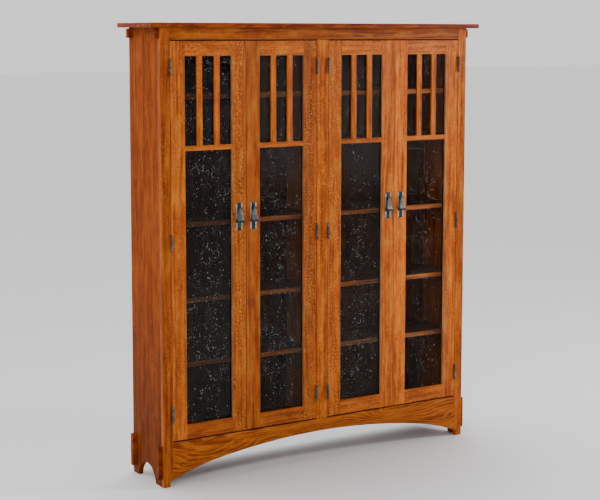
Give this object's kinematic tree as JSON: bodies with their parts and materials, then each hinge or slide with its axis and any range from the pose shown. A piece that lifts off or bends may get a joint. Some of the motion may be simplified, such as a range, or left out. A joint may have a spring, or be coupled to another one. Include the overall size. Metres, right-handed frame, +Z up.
{
  "type": "bookcase",
  "caption": "Tall oak bookcase in the plain mission manner: thin top slab, arched feet and apron, glazed doors in pairs with a barred upper light, butt hinges and iron drop pulls.",
  "frame": {"origin": "on the floor, in the middle of the top slab's outline", "axes": "+X to the right of someone who faces the doors, -Y out of the front, +Z up"},
  "size_m": [1.597, 0.295, 1.832],
  "materials": {
    "frame_oak": "satin lacquer",
    "panel_oak": "satin lacquer",
    "inner_oak": "thin satin lacquer",
    "seeded_glass": "clear with seeds",
    "dark_iron": "hammered, dark",
    "hinge_steel": "dark bronze",
    "zinc_fitting": "zinc plated",
    "catch_plastic": "matte"
  },
  "bodies": {
    "case": {"side_left": "panel_oak", "side_right": "panel_oak", "top_slab": "panel_oak", "front_stile_left": "frame_oak", "front_stile_right": "frame_oak", "centre_stile": "frame_oak", "top_rail": "frame_oak", "arched_apron": "frame_oak", "tenon_blocks": "frame_oak", "bottom_deck": "inner_oak", "carcase_top": "inner_oak", "centre_partition": "inner_oak", "back_panels": "inner_oak", "back_rails": "inner_oak", "top_cleats": "inner_oak", "shelf_1": "inner_oak", "shelf_2": "inner_oak", "shelf_3": "inner_oak", "shelf_4": "inner_oak", "shelf_5": "inner_oak", "shelf_pins": "zinc_fitting", "case_hinge_leaves": "hinge_steel", "hinge_pins": "hinge_steel", "magnetic_catches": "catch_plastic"},
    "door_1": {"door_1_stiles": "frame_oak", "door_1_rails": "frame_oak", "door_1_grille": "frame_oak", "door_1_glass": "seeded_glass", "door_1_glass_stops": "inner_oak", "door_1_hinge_leaves": "hinge_steel", "door_1_pull_plate": "dark_iron", "door_1_strike": "zinc_fitting"},
    "pull_1": {"door_1_pull_drop": "dark_iron"},
    "door_2": {"door_2_stiles": "frame_oak", "door_2_rails": "frame_oak", "door_2_grille": "frame_oak", "door_2_glass": "seeded_glass", "door_2_glass_stops": "inner_oak", "door_2_hinge_leaves": "hinge_steel", "door_2_pull_plate": "dark_iron", "door_2_strike": "zinc_fitting"},
    "pull_2": {"door_2_pull_drop": "dark_iron"},
    "door_3": {"door_3_stiles": "frame_oak", "door_3_rails": "frame_oak", "door_3_grille": "frame_oak", "door_3_glass": "seeded_glass", "door_3_glass_stops": "inner_oak", "door_3_hinge_leaves": "hinge_steel", "door_3_pull_plate": "dark_iron", "door_3_strike": "zinc_fitting"},
    "pull_3": {"door_3_pull_drop": "dark_iron"},
    "door_4": {"door_4_stiles": "frame_oak", "door_4_rails": "frame_oak", "door_4_grille": "frame_oak", "door_4_glass": "seeded_glass", "door_4_glass_stops": "inner_oak", "door_4_hinge_leaves": "hinge_steel", "door_4_pull_plate": "dark_iron", "door_4_strike": "zinc_fitting"},
    "pull_4": {"door_4_pull_drop": "dark_iron"}
  },
  "joints": [
    {"name": "door_1_hinge", "type": "hinge", "parent": "case", "child": "door_1", "pos_m": [-0.7053, -0.1277, 0.9226], "axis": [0, 0, -1], "range_deg": [0, 165]},
    {"name": "door_2_hinge", "type": "hinge", "parent": "case", "child": "door_2", "pos_m": [-0.0282, -0.1277, 0.9226], "axis": [0, 0, 1], "range_deg": [0, 82]},
    {"name": "door_3_hinge", "type": "hinge", "parent": "case", "child": "door_3", "pos_m": [0.0282, -0.1277, 0.9226], "axis": [0, 0, -1], "range_deg": [0, 82]},
    {"name": "door_4_hinge", "type": "hinge", "parent": "case", "child": "door_4", "pos_m": [0.7053, -0.1277, 0.9226], "axis": [0, 0, 1], "range_deg": [0, 165]},
    {"name": "pull_1_swing", "type": "hinge", "parent": "door_1", "child": "pull_1", "pos_m": [-0.39975, -0.132, 1.093], "axis": [-1, 0, 0], "range_deg": [0, 60]},
    {"name": "pull_2_swing", "type": "hinge", "parent": "door_2", "child": "pull_2", "pos_m": [-0.33375, -0.132, 1.093], "axis": [-1, 0, 0], "range_deg": [0, 60]},
    {"name": "pull_3_swing", "type": "hinge", "parent": "door_3", "child": "pull_3", "pos_m": [0.33375, -0.132, 1.093], "axis": [-1, 0, 0], "range_deg": [0, 60]},
    {"name": "pull_4_swing", "type": "hinge", "parent": "door_4", "child": "pull_4", "pos_m": [0.39975, -0.132, 1.093], "axis": [-1, 0, 0], "range_deg": [0, 60]}
  ]
}
